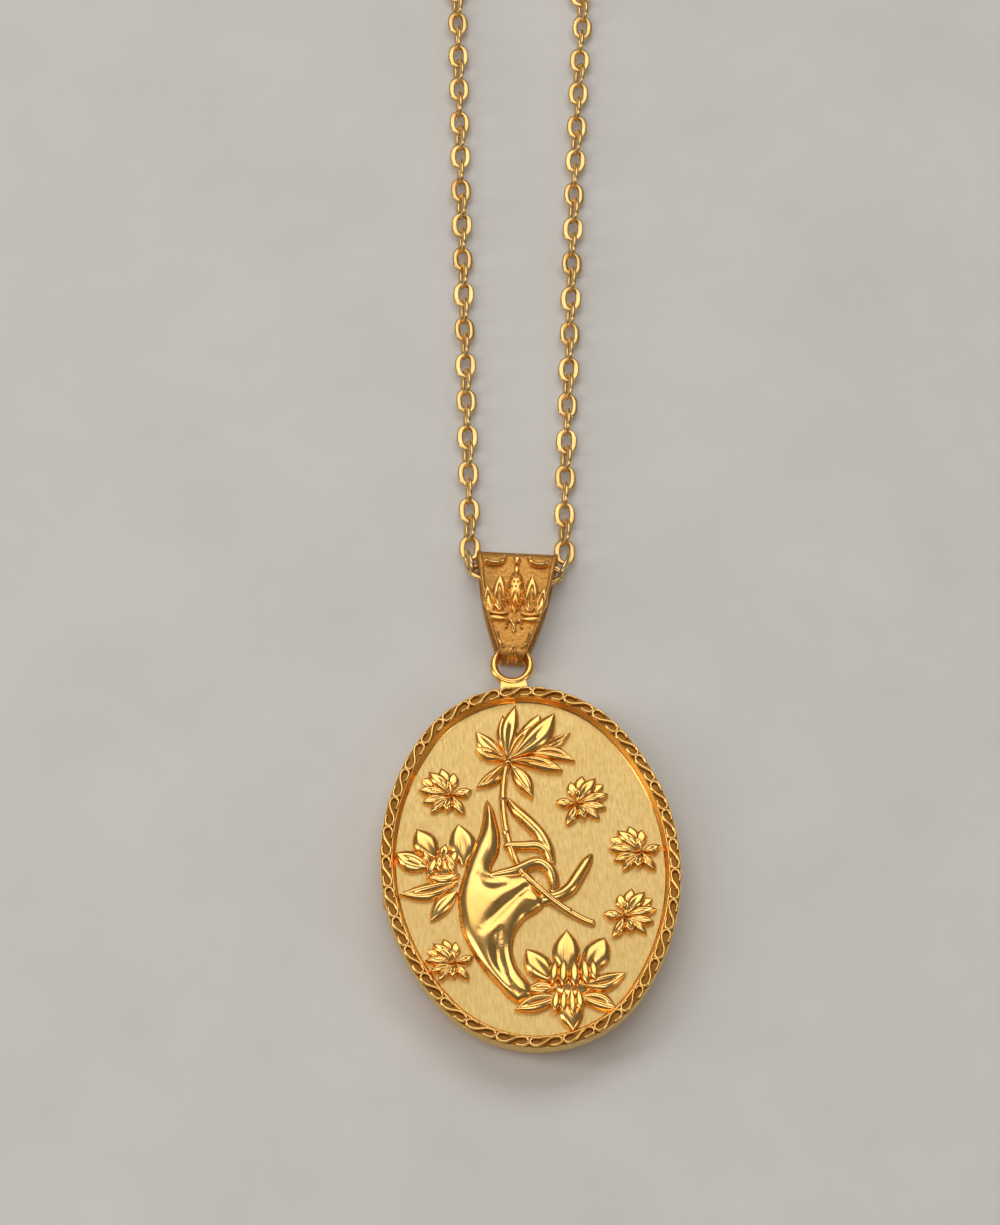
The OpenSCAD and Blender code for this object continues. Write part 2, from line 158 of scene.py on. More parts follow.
ARC_END = 2 * math.atan2(SIDE_C, END_C)
ARC_SIDE = math.pi - ARC_END


def quarter(d):
    return (END_R - d) * ARC_END / 2 + (SIDE_R - d) * ARC_SIDE / 2


def on_oval(s, d):
    """Point and outward normal at length s, clockwise from the top, on the oval drawn in by d."""
    q = quarter(d)
    n = int(s // q) % 4
    r = s - (s // q) * q
    r = q - r if n in (1, 3) else r
    head = (END_R - d) * ARC_END / 2
    if r < head:
        a = r / (END_R - d)
        x, y = (END_R - d) * math.sin(a), END_C + (END_R - d) * math.cos(a)
    else:
        a = ARC_END / 2 + (r - head) / (SIDE_R - d)
        x, y = -SIDE_C + (SIDE_R - d) * math.sin(a), (SIDE_R - d) * math.cos(a)
    sx = -1 if n in (2, 3) else 1
    sy = -1 if n in (1, 2) else 1
    return np.array([x * sx, OVAL_Y + y * sy]), np.array([math.sin(a) * sx, math.cos(a) * sy])


def on_band(x, y, mid):
    """Maps x along the border and y outwards to a place on the oval drawn in by mid."""
    p, n = on_oval(x % (4 * quarter(mid)), mid)
    return p + n * y


# ---- Materials ------------------------------------------------------------------------------


class Nodes:
    """A small helper to write a material's nodes in a few lines; noise scales are per metre."""

    def __init__(self, name, **values):
        self.material = bpy.data.materials.new(name)
        self.material.use_nodes = True
        self.tree = self.material.node_tree
        self.shader = self.tree.nodes["Principled BSDF"]
        for key, value in values.items():
            self.shader.inputs[key.replace("_", " ")].default_value = value

    def add(self, kind, links=None, **settings):
        node = self.tree.nodes.new(kind)
        for key, value in settings.items():
            if hasattr(node, key):
                setattr(node, key, value)
            else:
                node.inputs[key.replace("_", " ")].default_value = value
        for key, source in (links or {}).items():
            self.tree.links.new(source, node.inputs[key])
        return node

    def place(self, scale=(1, 1, 1)):
        """Object coordinates in metres, so that they move with the piece."""
        coords = self.add("ShaderNodeTexCoord")
        return self.add("ShaderNodeMapping", {0: coords.outputs["Object"]}, Scale=scale).outputs[0]

    def ramp(self, source, stops):
        node = self.add("ShaderNodeValToRGB", {0: source})
        points = node.color_ramp.elements
        while len(points) < len(stops):
            points.new(0.5)
        for point, (at, color) in zip(points, stops):
            point.position = at
            point.color = color if len(color) == 4 else (*color, 1)
        return node.outputs[0]

    def bump(self, height, strength, distance, normal=None):
        links = {"Height": height}
        if normal is not None:
            links["Normal"] = normal
        node = self.add("ShaderNodeBump", links, Strength=strength, Distance=distance)
        self.tree.links.new(node.outputs[0], self.shader.inputs["Normal"])
        return node.outputs[0]

    def into(self, socket, source):
        self.tree.links.new(source, self.shader.inputs[socket])


def noise(m, scale, stretch=(1, 1, 1), detail=3.0, rough=0.6):
    return m.add("ShaderNodeTexNoise", {"Vector": m.place(stretch)},
                 Scale=scale, Detail=detail, Roughness=rough).outputs["Fac"]


def polished_gold(name, base, deep, low, high):
    """Plated metal with faint polishing marks, slight colour drift and a little wear."""
    m = Nodes(name, Metallic=1.0)
    drift = noise(m, 260, detail=4)
    m.into("Base Color", m.ramp(drift, [(0.3, deep), (0.7, base)]))
    marks = noise(m, 1500, (1, 0.35, 1), 5)
    m.into("Roughness", m.ramp(marks, [(0.3, (low,) * 3), (0.75, (high,) * 3)]))
    m.bump(noise(m, 2600, (1, 0.5, 1), 2), 0.10, 0.00002)
    return m.material


def matte_gold(name, base, deep, grain, stretch, low, high):
    """A satin ground; a stretched grain gives the fine upright lines of a struck field."""
    m = Nodes(name, Metallic=1.0)
    lines = noise(m, grain, stretch, 3, 0.55)
    drift = noise(m, 180, detail=2)
    soft = m.add("ShaderNodeMath", {0: drift, 1: lines, 2: lines}, operation="MULTIPLY_ADD").outputs[0]
    m.into("Base Color", m.ramp(soft, [(0.45, deep), (0.95, base)]))
    m.into("Roughness", m.ramp(lines, [(0.3, (high,) * 3), (0.7, (low,) * 3)]))
    m.bump(lines, 0.5, 0.00006)
    return m.material


GOLD = polished_gold("relief_gold", (1.0, 0.62, 0.21), (0.94, 0.52, 0.14), 0.17, 0.26)
WIRE_GOLD = polished_gold("scroll_gold", (1.0, 0.63, 0.22), (0.95, 0.53, 0.14), 0.14, 0.24)
# the band's ground under the scroll wires: its dark brown colour is painted shade between the wires
BAND_GROUND_PAINTED_SHADE = polished_gold("band_ground_painted_shade", (0.36, 0.17, 0.035), (0.26, 0.11, 0.02), 0.4, 0.52)
BAIL_GOLD = polished_gold("bail_relief_gold", (1.0, 0.62, 0.21), (0.94, 0.50, 0.12), 0.24, 0.34)
RING_GOLD = polished_gold("ring_gold", (1.0, 0.62, 0.21), (0.94, 0.51, 0.13), 0.2, 0.3)
CASE_GOLD = polished_gold("case_gold", (0.97, 0.56, 0.165), (0.9, 0.47, 0.11), 0.18, 0.28)
INNER_GOLD = polished_gold("inner_gold", (0.97, 0.57, 0.175), (0.9, 0.48, 0.115), 0.25, 0.38)
CHAIN_GOLD = polished_gold("chain_gold", (0.90, 0.62, 0.26), (0.78, 0.49, 0.17), 0.24, 0.36)
FIELD_GOLD = matte_gold("field_gold", (0.84, 0.61, 0.25), (0.77, 0.52, 0.18),
                        grain=5200, stretch=(1, 0.2, 1), low=0.44, high=0.54)
# the bail strap's matte ground: its grain is real, its deeper orange is painted shade of the recesses
# round the relief
BAIL_GROUND_PAINTED_SHADE = matte_gold("bail_ground_painted_shade", (0.72, 0.38, 0.10), (0.52, 0.24, 0.05),
                         grain=3000, stretch=(1, 1, 1), low=0.42, high=0.55)


def spring_steel():
    m = Nodes("spring_steel", Metallic=1.0)
    grain = noise(m, 2200, (1, 0.2, 1), 4)
    m.into("Base Color", m.ramp(grain, [(0.3, (0.42, 0.42, 0.43)), (0.7, (0.62, 0.62, 0.63))]))
    m.into("Roughness", m.ramp(grain, [(0.3, (0.25,) * 3), (0.7, (0.38,) * 3)]))
    return m.material


def clear_window():
    m = Nodes("clear_window", Alpha=0.18, IOR=1.49)
    haze = noise(m, 400, detail=4)
    m.into("Base Color", m.ramp(haze, [(0.3, (0.86, 0.9, 0.92)), (0.7, (0.95, 0.97, 0.98))]))
    m.into("Roughness", m.ramp(haze, [(0.3, (0.06,) * 3), (0.8, (0.16,) * 3)]))
    return m.material


def blank_card():
    m = Nodes("blank_card")
    fibre = noise(m, 1800, (1, 0.4, 1), 6)
    m.into("Base Color", m.ramp(fibre, [(0.3, (0.80, 0.77, 0.69)), (0.7, (0.85, 0.82, 0.74))]))
    m.into("Roughness", m.ramp(fibre, [(0.2, (0.7,) * 3), (0.8, (0.9,) * 3)]))
    m.bump(fibre, 0.1, 0.00003)
    return m.material


STEEL = spring_steel()
CLEAR = clear_window()
CARD = blank_card()

# ---- Chain ----------------------------------------------------------------------------------

LINK_L, LINK_W = 3.1, 2.25        # outside length and width of a link
WIRE_END, WIRE_SIDE = 0.46, 0.64  # the flattened wire at its ends and its flanks
WIRE_T = 0.42                     # its thickness
PITCH = 2.22
CHAIN_Z = 1.07                    # height of the lying chain's middle
RAISED_Z = 1.5                    # above this the chain hangs in the bail
LEAST_Z = 0.75                    # least height of a lying link's middle
FLAT_TILT, EDGE_TILT, SWAY = 7, -72, 9    # how far the links are turned about the chain, degrees
COIL = (16.5, 126.0)              # middle of the stored coil
COIL_GAP = 4.4                    # distance from turn to turn


def lying(points):
    return [(x, y, CHAIN_Z) for x, y in points]


LEFT_ROUTE = [(1.3, 34.1, 1.85), (-0.7, 34.35, 1.85), (-2.3, 34.6, 1.85), (-3.3, 35.1, 1.75),
              (-3.5, 36.2, 1.5), (-3.25, 38.0, 1.2)]
LEFT_ROUTE += lying([(-3.0, 42), (-2.6, 50), (-2.1, 60), (-1.6, 70), (-1.1, 80), (-0.55, 90),
                     (0.0, 100), (0.4, 108), (0.25, 116)])
RIGHT_ROUTE = [(1.3, 34.1, 1.85), (3.3, 33.85, 1.85), (5.0, 33.65, 1.85), (6.1, 34.2, 1.7),
               (6.5, 35.5, 1.4), (6.65, 37.2, 1.15)]
RIGHT_ROUTE += lying([(7.05, 42), (7.9, 50), (9, 60), (10.1, 70), (11.2, 80), (12.4, 90),
                      (13.6, 100), (14.3, 105.5), (13.2, 109.8)])


def spiral(start_angle, start_r, turns, step=10):
    """Clockwise turns of the stored chain, each one inside the turn before."""
    n = int(turns * 360 / step)
    out = []
    for k in range(n + 1):
        a = math.radians(start_angle - k * step)
        r = start_r - COIL_GAP * k * step / 360
        out.append((COIL[0] + r * math.cos(a), COIL[1] + r * math.sin(a), CHAIN_Z))
    return out


def link_shape():
    """One flattened link lying in the xy plane, as rings round its oval."""
    rings = []
    for k in range(28):
        a = 2 * math.pi * k / 28
        ca, sa = math.cos(a), math.sin(a)
        # long oval with straighter flanks
        ex = math.copysign(abs(ca) ** 0.8, ca)
        ey = math.copysign(abs(sa) ** 0.92, sa)
        outer = np.array([LINK_L / 2 * ex, LINK_W / 2 * ey])
        inner = np.array([(LINK_L / 2 - WIRE_END) * ex, (LINK_W / 2 - WIRE_SIDE) * ey])
        mid, half = (outer + inner) / 2, (outer - inner) / 2
        ring = []
        for j in range(10):
            b = 2 * math.pi * j / 10
            u = math.copysign(abs(math.cos(b)) ** 0.5, math.cos(b))
            v = math.copysign(abs(math.sin(b)) ** 0.5, math.sin(b))
            xy = mid + half * u
            ring.append((xy[0], xy[1], WIRE_T / 2 * v))
        rings.append(ring)
    return loft(rings, closed=True)


LINK = link_shape()


def links(path):
    """Links along the path, each turned against the one before, as they hang in each other."""
    total = arc_lengths(path)[-1]
    first = PITCH / 2
    count = int((total - first - 0.5) / PITCH) + 1
    parts = []
    for k in range(count):
        s = first + k * PITCH
        here = at_lengths(path, np.array([s]))[0]
        ahead = at_lengths(path, np.array([min(s + 1.0, total)]))[0]
        behind = at_lengths(path, np.array([max(s - 1.0, 0)]))[0]
        x = ahead - behind
        x /= np.linalg.norm(x)
        y = np.cross([0, 0, 1], x)
        y /= np.linalg.norm(y)
        z = np.cross(x, y)
        tilt = math.radians((EDGE_TILT if k % 2 == 0 else FLAT_TILT) + SWAY * math.sin(1.7 * k + 1))
        y2 = math.cos(tilt) * y + math.sin(tilt) * z
        z2 = -math.sin(tilt) * y + math.cos(tilt) * z
        lift = LINK_W / 2 * abs(math.sin(tilt)) + WIRE_T / 2 * abs(math.cos(tilt))
        if here[2] < RAISED_Z:
            here[2] = max(lift + 0.01, LEAST_Z)
        v = LINK[0] @ np.array([x, y2, z2]) + here
        parts.append((v, LINK[1]))
    return joined(parts)


def make_chain(name, route, coil_turns, replaced):
    """One strand of links along the route; the CAD strands that it replaces are hidden."""
    path = spline(route + coil_turns, 0.5)
    v, f = links(path)
    chain = make(name, v, f, CHAIN_GOLD, "chain")
    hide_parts(*replaced)
    row = path.copy()
    row[:, 1] += CASE_Y
    points = row[::2]
    if len(row) % 2 == 0:
        points = np.vstack([points, row[-1:]])
    return chain


make_chain("chain_left_links", LEFT_ROUTE, spiral(180, 16.3, 2.0),
           ["chain_left", "chain_coil"])
make_chain("chain_right_links", RIGHT_ROUTE, spiral(240, 14.83, 1.0 + 2 / 3),
           ["chain_right"])

# ---- Scroll border --------------------------------------------------------------------------

SCROLLS = 32
SCROLL_MID = 0.6        # the border's middle, from the oval's edge
SCROLL_L = 3.14         # length of border that the scroll below is drawn for
SCROLL_Z = BAND_Z + 0.17
SCROLL_WIRE = 0.165     # radius of its wire, before it tapers
# half of the S, from its hook to the middle; the other half is its point reflection
SCROLL = [(-0.3, 0.4), (-0.65, 0.46), (-1.08, 0.44), (-1.4, 0.27), (-1.5, -0.03), (-1.34, -0.33),
          (-0.95, -0.44), (-0.45, -0.3)]
SCROLL = SCROLL + [(0, 0)] + [(-x, -y) for x, y in SCROLL[::-1]]


def round_wire(path, radius, sides=8, flat=1.0):
    """A wire along a path with rounded ends; radius may be a list, flat is height over width."""
    n = len(path)
    radii = np.broadcast_to(np.asarray(radius, float), (n,)).copy()
    along = arc_lengths(path)
    rest = along[-1] - along
    for i in range(n):
        cap = min(along[i], rest[i]) / radii[i]
        if cap < 1:
            radii[i] *= max(0.12, math.sqrt(max(0.0, 1 - (1 - cap) ** 2)))
    rings = []
    for i in range(n):
        t = path[min(i + 1, n - 1)] - path[max(i - 1, 0)]
        t /= np.linalg.norm(t)
        side = np.cross(t, [0, 0, 1])
        side /= max(1e-9, np.linalg.norm(side))
        up = np.cross(side, t)
        rings.append([path[i] + radii[i] * (math.cos(b) * side + flat * math.sin(b) * up)
                      for b in (2 * math.pi * k / sides for k in range(sides))])
    return loft(rings)


def make_scrolls():
    around = 4 * quarter(SCROLL_MID)
    pitch = around / SCROLLS
    local = spline([(x, y, 0) for x, y in SCROLL], 0.12)
    parts = []
    for i in range(SCROLLS):
        swell = 1 + 0.06 * math.sin(2.3 * i)
        path = np.array([(*on_band(i * pitch + p[0] * pitch / SCROLL_L, p[1] * swell * 0.94, SCROLL_MID),
                          SCROLL_Z) for p in local])
        along = arc_lengths(path)
        middle = np.abs(along / along[-1] - 0.5)
        parts.append(round_wire(path, SCROLL_WIRE - 0.09 * np.maximum(0, middle - 0.25), 8, 1.15))
    v, f = joined(parts)
    wires = make("scroll_wires", v, f, WIRE_GOLD, "cover")
    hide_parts("scroll_border")


def oval_band(profile, name, material, body, count=240):
    """A ring round the oval whose section is a list of (inset, height) points."""
    rings = []
    for k in range(count):
        ring = []
        for d, z in profile:
            point = on_oval(k / count * 4 * quarter(d), d)[0]
            ring.append((*point, z))
        rings.append(ring)
    v, f = loft(rings, closed=True)
    return make(name, v, f, material, body, sharp=40)


make_scrolls()
# the ground between the scrolls, whose dark brown is painted shade between the wires, and the sloped
# inner wall of the band
oval_band([(0.06, 4.84), (0.06, 4.87), (1.12, 4.87), (1.12, 4.84)],
          "band_ground_painted_shade", BAND_GROUND_PAINTED_SHADE, "cover")
oval_band([(1.09, 4.86), (1.12, 4.9), (1.2, 4.88), (1.27, 4.76), (1.36, 4.5), (1.46, 4.28), (1.6, 4.19),
           (1.6, 4.1), (1.09, 4.1)],
          "rim_slope", CASE_GOLD, "cover")

# ---- Relief ---------------------------------------------------------------------------------


def leaf(base, tip, width, lift=(0.25, 0.8, 0.6), bend=0.0, crease=0.25, belly=0.5, blunt=0.0):
    """A closed petal: lift is the crest's height at base, middle and tip, bend bows it sideways,
    crease is the groove along it, belly is where it is widest and blunt rounds its ends."""
    base, tip = np.array(base, float), np.array(tip, float)
    run = tip - base
    length = np.linalg.norm(run)
    ahead = run / length
    side = np.array([-ahead[1], ahead[0]])
    rows, cols = 18, 11
    top, low = [], []
    for i in range(rows + 1):
        t = i / rows
        warp = t ** (math.log(0.5) / math.log(max(0.2, min(0.8, belly))))
        half = width / 2 * math.sin(math.pi * min(1, warp)) ** (0.85 - 0.35 * blunt)
        half = max(half, width * 0.02 if 0 < i < rows else width * 0.01)
        if i == 0:
            half = width * 0.12
        centre = base + run * t + side * bend * math.sin(math.pi * t)
        crest = ((1 - t) ** 2 * lift[0] + 2 * t * (1 - t) * (2 * lift[1] - (lift[0] + lift[2]) / 2)
                 + t * t * lift[2])
        row = []
        for j in range(cols):
            u = -1 + 2 * j / (cols - 1)
            round_off = math.sqrt(max(0, 1 - 0.92 * u * u))
            groove = crease * math.exp(-(u / 0.22) ** 2) * math.sin(math.pi * min(1, t * 1.1))
            z = crest * (0.25 + 0.75 * round_off) * (1 - groove)
            xy = centre + side * half * u
            row.append((xy[0], xy[1], FIELD_Z + z))
        top.append(row)
        low.append([(p[0], p[1], FIELD_Z - 0.08) for p in row])
    v = np.array(top + low, float).reshape(-1, 3)
    n = cols
    half_n = (rows + 1) * n
    f = []
    for i in range(rows):
        for j in range(cols - 1):
            a = i * n + j
            f.append((a, a + n, a + n + 1, a + 1))
            f.append((half_n + a, half_n + a + 1, half_n + a + n + 1, half_n + a + n))
        for j, flip in ((0, False), (cols - 1, True)):
            a = i * n + j
            g = (a, half_n + a, half_n + a + n, a + n)
            f.append(g[::-1] if flip else g)
    for i, flip in ((0, True), (rows, False)):
        for j in range(cols - 1):
            a = i * n + j
            g = (a, half_n + a, half_n + a + 1, a + 1)
            f.append(g[::-1] if flip else g)
    return v, f


def outward(part):
    """The part with its faces turned outwards."""
    v, f = part
    p = np.asarray(v)
    volume = 0.0
    for g in f:
        for k in range(1, len(g) - 1):
            volume += np.dot(p[g[0]], np.cross(p[g[k]], p[g[k + 1]]))
    return (v, [tuple(reversed(g)) for g in f]) if volume < 0 else part


def bulb(x, y, rx, ry, h, turn=0.0):
    """A small low dome, such as a bead or the end of a stamen."""
    rings = []
    for t in (0.02, 0.35, 0.62, 0.82, 0.95, 1.0):
        rho = math.sin(t * math.pi / 2)
        z = h * math.cos(t * math.pi / 2) if t < 1 else -0.08
        rings.append([(x + rho * (rx * math.cos(a) * math.cos(turn) - ry * math.sin(a) * math.sin(turn)),
                       y + rho * (rx * math.cos(a) * math.sin(turn) + ry * math.sin(a) * math.cos(turn)),
                       FIELD_Z + z) for a in (2 * math.pi * k / 16 for k in range(16))])
    return loft(rings)


def flower(name, parts, replaced):
    v, f = joined([outward(p) for p in parts])
    obj = make(name, v, f, GOLD, "cover", sharp=50)
    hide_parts(replaced)
    return obj


def held_lotus():
    b = (-1.4, 11.3)
    parts = [
        leaf((-0.6, 12.6), (2.3, 16.4), 1.7, (0.3, 0.5, 0.3), -0.1, 0.2, blunt=0.7),
        leaf((-1.4, 12.0), (-1.5, 16.6), 1.35, (0.4, 0.7, 0.35), 0.2),
        leaf((-1.9, 12.0), (-4.4, 14.9), 1.8, (0.3, 0.5, 0.45), 0.25, 0.3),
        leaf(b, (1.4, 15.2), 1.3, (0.5, 0.75, 0.4), 0.2),
        leaf(b, (-0.1, 17.6), 1.9, (0.6, 0.95, 0.45), 0.35, 0.25, 0.55),
        leaf((1.6, 12.6), (5.2, 14.1), 1.1, (0.4, 0.65, 0.5), -0.2, 0.35),
        leaf((1.2, 12.2), (4.6, 13.2), 0.9, (0.4, 0.6, 0.4), -0.15, 0.3),
        leaf((0.9, 12.1), (5.4, 10.8), 1.5, (0.4, 0.75, 0.55), 0.55, 0.35),
        leaf(b, (3.8, 16.3), 2.5, (0.7, 1.12, 0.8), -0.45, 0.22, 0.58),
        leaf(b, (4.1, 9.8), 1.6, (0.6, 0.95, 0.7), 0.45, 0.3, 0.58),
        leaf(b, (-4.6, 13.0), 1.45, (0.6, 0.85, 0.6), 0.1, 0.35, 0.58),
        leaf(b, (-4.8, 8.6), 1.5, (0.6, 0.85, 0.55), 0.3, 0.4, 0.55),
        leaf((-1.1, 10.9), (0.8, 7.0), 1.8, (0.5, 0.95, 0.6), 0.15, 0.3, 0.5),
        bulb(-1.35, 11.2, 0.5, 0.5, 0.85),
    ]
    stem = spline([(-1.55, 10.9, 0.55), (-1.95, 9.2, 0.5), (-2.2, 7.4, 0.48), (-2.25, 5.4, 0.5),
                   (-2.15, 3.6, 0.5), (-1.9, 2.0, 0.52), (-1.5, 0.5, 0.5), (-0.9, -1.2, 0.85),
                   (0.5, -2.9, 0.95), (2.5, -4.8, 0.6), (4.5, -6.3, 0.42), (5.95, -7.05, 0.4)], 0.15)
    along = arc_lengths(stem)
    knots = np.array([3.7, 7.4, 12.8, 18.5])
    radius = 0.37 + 0.06 * np.exp(-((along[:, None] - knots) / 0.22) ** 2).sum(1)
    stem[:, 2] += FIELD_Z - 0.2
    parts.append(round_wire(stem, radius, 10, 1.0))
    return flower("held_lotus_petals", parts, "held_lotus")


def left_lotus():
    parts = [
        bulb(-8.9, 0.0, 1.6, 1.5, 0.6),
        leaf((-9.2, 0.9), (-11.1, 4.4), 2.5, (0.4, 0.8, 0.5), 0.1, 0.12, 0.55, 0.3),
        leaf((-6.7, 0.3), (-6.9, 4.7), 2.7, (0.4, 0.75, 0.5), -0.2, 0.3, 0.5, 0.3),
        leaf((-10.2, 0.1), (-13.4, 1.9), 2.3, (0.5, 0.8, 0.45), 0.1, 0.3, 0.5, 0.4),
        leaf((-7.4, -1.6), (-13.3, -2.6), 1.9, (0.5, 0.75, 0.5), 0.35, 0.4, 0.5),
        leaf((-7.5, -2.6), (-10.4, -5.7), 1.7, (0.5, 0.75, 0.4), -0.2, 0.15, 0.5, 0.2),
        leaf((-8.8, 0.6), (-8.3, 2.6), 1.3, (0.5, 0.8, 0.5), 0, 0.2),
        leaf((-9.9, 0.2), (-10.6, 1.9), 0.9, (0.7, 0.95, 0.8), 0, 0.1, blunt=0.6),
        leaf((-7.9, 0.0), (-7.3, 1.9), 1.0, (0.6, 0.8, 0.5), 0, 0.1, blunt=0.4),
        leaf((-10.4, -0.9), (-7.1, -0.8), 1.3, (0.5, 0.85, 0.5), -0.4, 0.1, 0.5, 0.6),
        leaf((-9.4, 1.2), (-10.4, -1.1), 1.0, (0.7, 1.05, 0.8), 0.1, 0.1, 0.55, 0.8),
        leaf((-9.0, 1.3), (-9.2, -0.6), 0.95, (0.8, 1.1, 0.9), 0, 0.1, 0.55, 0.8),
        leaf((-8.5, 1.4), (-7.7, -1.0), 1.1, (0.8, 1.05, 0.8), 0.2, 0.15, 0.55, 0.8),
    ]
    return flower("left_lotus_petals", parts, "left_lotus")


def lower_lotus():
    parts = [
        bulb(3.1, -13.2, 2.2, 1.4, 0.45),
        leaf((2.6, -12.4), (3.0, -7.5), 2.8, (0.5, 0.85, 0.5), 0.05, 0.25, 0.5, 0.1),
        leaf((4.4, -12.4), (6.7, -8.6), 2.7, (0.4, 0.8, 0.45), -0.1, 0.2, 0.55, 0.5),
        leaf((1.3, -12.9), (-1.2, -9.3), 2.6, (0.4, 0.8, 0.45), 0.15, 0.2, 0.5, 0.4),
        leaf((1.4, -13.6), (-1.5, -13.6), 1.5, (0.4, 0.6, 0.4), -0.15, 0.3),
        leaf((4.0, -13.5), (8.5, -12.5), 1.9, (0.5, 0.8, 0.5), -0.35, 0.45, 0.5),
        leaf((3.6, -14.7), (7.3, -16.4), 1.9, (0.5, 0.8, 0.5), 0.35, 0.35, 0.5, 0.1),
        leaf((1.7, -14.6), (-2.8, -15.7), 2.0, (0.5, 0.8, 0.5), -0.15, 0.35, 0.5),
        leaf((2.6, -14.4), (2.75, -18.3), 2.5, (0.5, 0.8, 0.45), 0, 0.2, 0.5, 0.1),
    ]
    upper = [((1.7, -10.3), (1.15, -13.4), 1.15), ((5.2, -10.4), (5.35, -13.3), 1.1),
             ((4.4, -10.2), (4.5, -13.6), 1.2), ((2.5, -10.2), (2.1, -13.7), 1.2),
             ((3.5, -10.4), (3.25, -13.8), 1.25)]
    for top, low, width in upper:
        parts.append(leaf(top, low, width, (0.45, 1.0, 0.95), 0, 0.05, 0.62, 0.9))
    lower = [((1.5, -13.9), (1.1, -16.2)), ((2.2, -13.9), (1.9, -16.4)),
             ((3.6, -13.9), (3.65, -16.3)), ((2.95, -13.8), (2.85, -16.8))]
    for top, low in lower:
        parts.append(leaf(top, low, 1.1, (0.7, 0.98, 0.95), 0, 0.05, 0.62, 0.9))
    return flower("lower_lotus_petals", parts, "lower_lotus")


# one small blossom: each petal's base, tip, width and lift, from the hub
BLOSSOM = [
    ((0.1, 0.6), (-0.4, 2.7), 1.15, (0.3, 0.5, 0.3)),
    ((0.9, 0.7), (3.1, 2.1), 1.3, (0.3, 0.5, 0.35)),
    ((0.5, 0.6), (0.9, 3.3), 1.35, (0.3, 0.6, 0.35)),
    ((0.1, 0.1), (2.3, 2.8), 1.5, (0.5, 1.0, 0.6)),
    ((0.3, 0.1), (3.5, 0.9), 1.15, (0.4, 0.85, 0.5)),
    ((0.5, -0.2), (3.2, -0.6), 1.05, (0.4, 0.7, 0.45)),
    ((-0.1, 0.1), (-2.2, 0.45), 1.1, (0.5, 0.8, 0.45)),
    ((0.0, -0.1), (-1.2, -2.4), 1.1, (0.5, 0.8, 0.45)),
    ((0.2, -0.2), (0.75, -1.9), 1.1, (0.5, 0.9, 0.55)),
    ((0.5, -0.3), (2.4, -1.9), 1.0, (0.5, 0.75, 0.45)),
    ((0.1, 0.0), (0.5, 1.7), 0.85, (0.6, 1.0, 0.7)),
]
# where they are: hub, side that the big petals point to, turn in degrees and size
BLOSSOMS = [((5.1, 6.1), 1, 0, 0.95), ((-7.3, 7.9), -1, 0, 0.95), ((11.2, 0.4), -1, 4, 0.92),
            ((8.8, -6.5), 1, -4, 0.94), ((-8.2, -10.3), -1, 6, 0.84)]


def blossom(hub, side, turn, size):
    """A small open blossom whose petals fan out from a low hub."""
    c, s = math.cos(math.radians(turn)), math.sin(math.radians(turn))

    def put(p):
        x, y = p[0] * side * size, p[1] * size
        return hub[0] + c * x - s * y, hub[1] + s * x + c * y

    return [leaf(put(base), put(tip), 1.12 * width * size, lift, 0.08 * side, 0.16, 0.55, 0.3)
            for base, tip, width, lift in BLOSSOM]


def small_blossoms():
    parts = []
    for place in BLOSSOMS:
        parts += blossom(*place)
    return flower("small_blossom_petals", parts, "small_blossoms")


held_lotus()
left_lotus()
lower_lotus()
small_blossoms()

# ---- The hand: a smooth height field --------------------------------------------------------

# outline of the palm with the thumb, the first finger and the wrist
MITT = [(-3.8, 7.4), (-3.25, 6.4), (-2.97, 5.1), (-2.75, 2.9), (-3.05, 1.2), (-3.85, -0.5), (-2.4, -0.9),
        (-0.6, -0.9), (0.3, -1.6), (0.5, -2.8), (1.1, -3.9), (0.95, -4.9), (0.05, -5.6), (-1.1, -6.3),
        (-2.1, -7.8), (-2.4, -9.4), (-2.05, -11.1), (-0.9, -13.1), (-0.9, -14.4), (-2.3, -15.0),
        (-3.1, -14.6), (-4.4, -12.9), (-5.75, -10.9), (-6.85, -8.6), (-7.4, -6.8), (-7.6, -4.5),
        (-7.4, -2.6), (-6.6, -0.2), (-5.65, 2.0), (-4.9, 3.6), (-4.45, 5.2), (-4.2, 6.6)]
# creases and hollows: (x, y, half width, depth) along each line
HOLLOWS = [
    [(-0.7, -2.9, 0.35, 0.12), (-1.9, -3.8, 0.5, 0.24), (-2.9, -4.6, 0.62, 0.28),
     (-4.2, -5.9, 0.6, 0.22), (-5.3, -7.1, 0.5, 0.04)],
    [(-3.6, -7.3, 0.35, 0.1), (-4.0, -8.9, 0.7, 0.5), (-3.95, -10.4, 0.65, 0.52),
     (-3.5, -11.9, 0.5, 0.3), (-3.0, -13.2, 0.3, 0.04)],
    [(-5.3, -1.4, 0.5, 0.06), (-4.1, -1.95, 0.7, 0.26), (-2.9, -2.1, 0.5, 0.12)],
]
